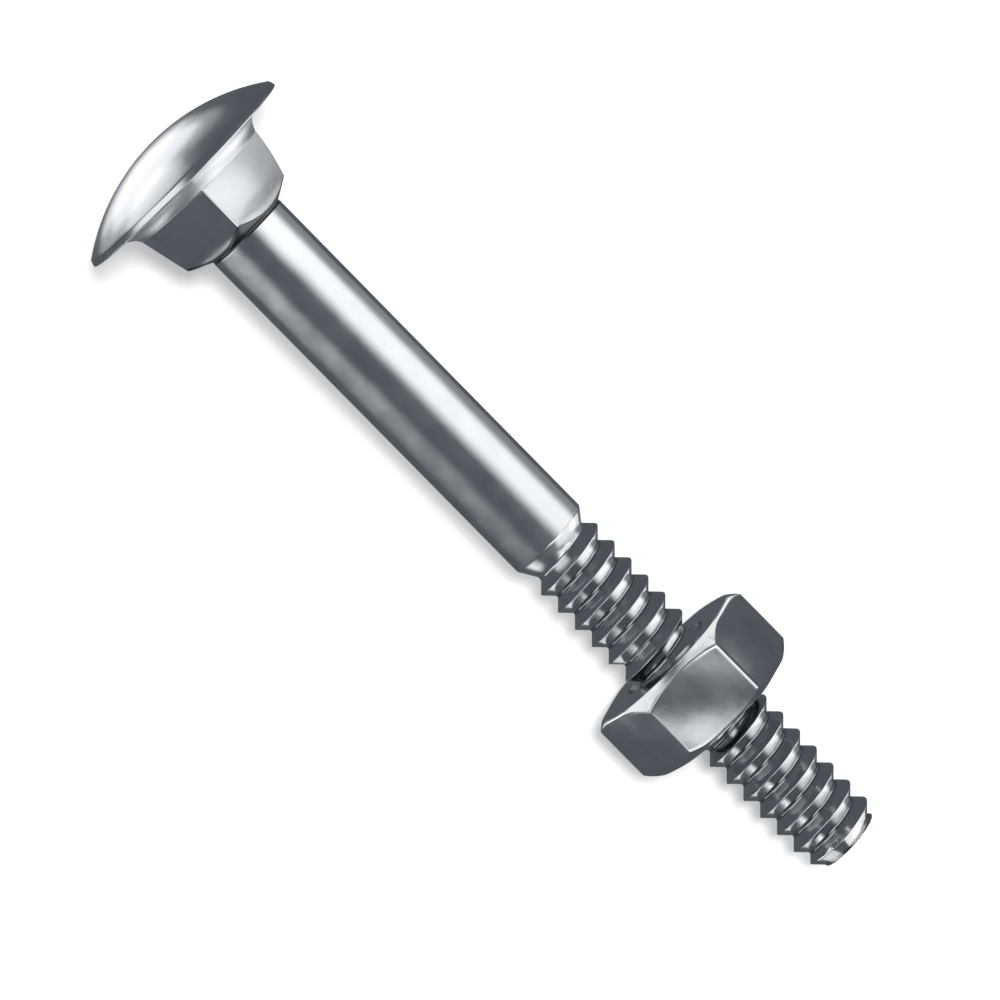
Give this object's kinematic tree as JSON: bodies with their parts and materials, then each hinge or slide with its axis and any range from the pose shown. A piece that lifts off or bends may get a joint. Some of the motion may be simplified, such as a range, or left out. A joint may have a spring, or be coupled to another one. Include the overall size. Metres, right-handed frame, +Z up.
{
  "type": "carriage bolt with hex nut",
  "caption": "Carriage bolt with a shallow domed head, tapered square neck, plain shank and coarse right-hand thread, carrying a chamfered hex nut that travels along the thread.",
  "frame": {"origin": "on the bolt's axis, in the plane of the head's underside", "axes": "+X along the bolt's axis from the head towards the tip, +Z up with the bolt lying down, one corner of the square neck and one flat of the nut facing +Z"},
  "size_m": [0.063, 0.0162, 0.0162],
  "materials": {
    "bolt_zinc": "bright zinc plate",
    "nut_zinc": "bright zinc plate"
  },
  "bodies": {
    "bolt": {"bolt": "bolt_zinc"},
    "nut": {"nut": "nut_zinc"}
  },
  "joints": [
    {"name": "nut_travel", "type": "slide", "parent": "bolt", "child": "nut", "axis": [1, 0, 0], "range_m": [-0.00928, 0.01856]}
  ]
}
